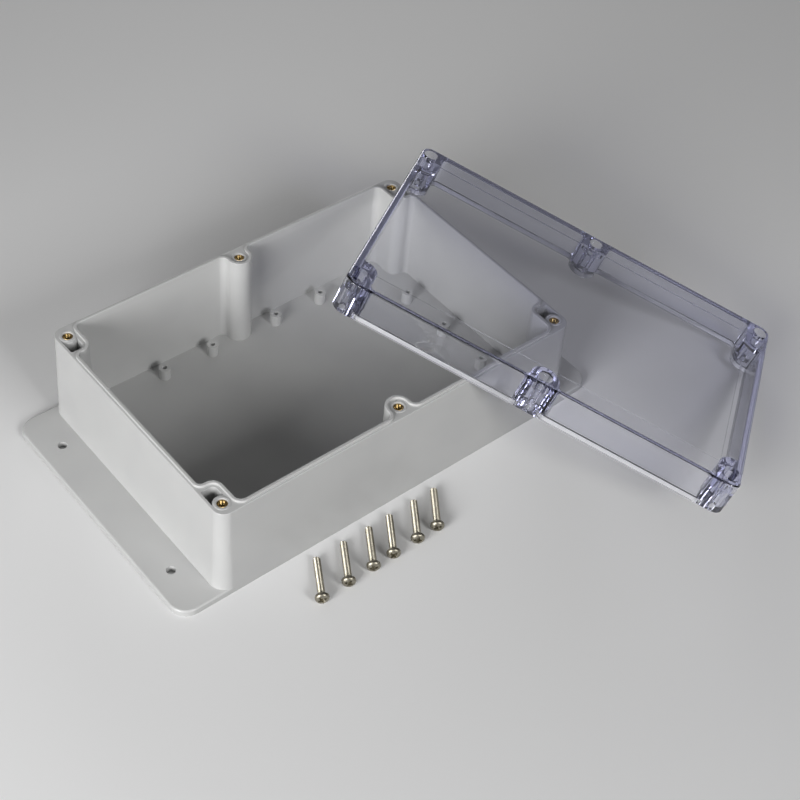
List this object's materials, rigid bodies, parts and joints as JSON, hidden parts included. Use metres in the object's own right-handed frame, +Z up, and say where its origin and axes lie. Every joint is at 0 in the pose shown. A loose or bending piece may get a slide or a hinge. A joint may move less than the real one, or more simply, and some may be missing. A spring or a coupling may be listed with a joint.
{
  "type": "junction box",
  "caption": "Open rectangular plastic junction box with wall ears, brass screw inserts and board standoffs, its clear gasketed lid leaning on it and the lid screws beside it.",
  "frame": {"origin": "middle of the four wall-fixing holes, on the tray's flat bottom face", "axes": "+X along the box to its right end, where the lid leans; +Y to the back wall; +Z up, out of the open tray"},
  "size_m": [0.3791, 0.2771, 0.1025],
  "materials": {
    "tray_plastic": "light grey moulded ABS, semi-gloss",
    "insert_brass": "turned brass",
    "lid_clear": "clear polycarbonate with a faint violet-blue tint",
    "gasket_foam": "white foam seal",
    "screw_steel": "nickel-plated steel"
  },
  "bodies": {
    "tray": {"base_tray": "tray_plastic", "insert_front_left": "insert_brass", "insert_front_middle": "insert_brass", "insert_front_right": "insert_brass", "insert_back_left": "insert_brass", "insert_back_middle": "insert_brass", "insert_back_right": "insert_brass"},
    "lid": {"clear_lid": "lid_clear", "lid_gasket": "gasket_foam"},
    "screw_1": {"lid_screw_1": "screw_steel"},
    "screw_2": {"lid_screw_2": "screw_steel"},
    "screw_3": {"lid_screw_3": "screw_steel"},
    "screw_4": {"lid_screw_4": "screw_steel"},
    "screw_5": {"lid_screw_5": "screw_steel"},
    "screw_6": {"lid_screw_6": "screw_steel"}
  },
  "joints": [
    {"name": "lid_lift", "type": "slide", "parent": "tray", "child": "lid", "axis": [0, 0, 1], "range_m": [0, 0.12]},
    {"name": "screw_1_lift", "type": "slide", "parent": "tray", "child": "screw_1", "axis": [0, 0, 1], "range_m": [0, 0.05]},
    {"name": "screw_2_lift", "type": "slide", "parent": "tray", "child": "screw_2", "axis": [0, 0, 1], "range_m": [0, 0.05]},
    {"name": "screw_3_lift", "type": "slide", "parent": "tray", "child": "screw_3", "axis": [0, 0, 1], "range_m": [0, 0.05]},
    {"name": "screw_4_lift", "type": "slide", "parent": "tray", "child": "screw_4", "axis": [0, 0, 1], "range_m": [0, 0.05]},
    {"name": "screw_5_lift", "type": "slide", "parent": "tray", "child": "screw_5", "axis": [0, 0, 1], "range_m": [0, 0.05]},
    {"name": "screw_6_lift", "type": "slide", "parent": "tray", "child": "screw_6", "axis": [0, 0, 1], "range_m": [0, 0.05]}
  ]
}
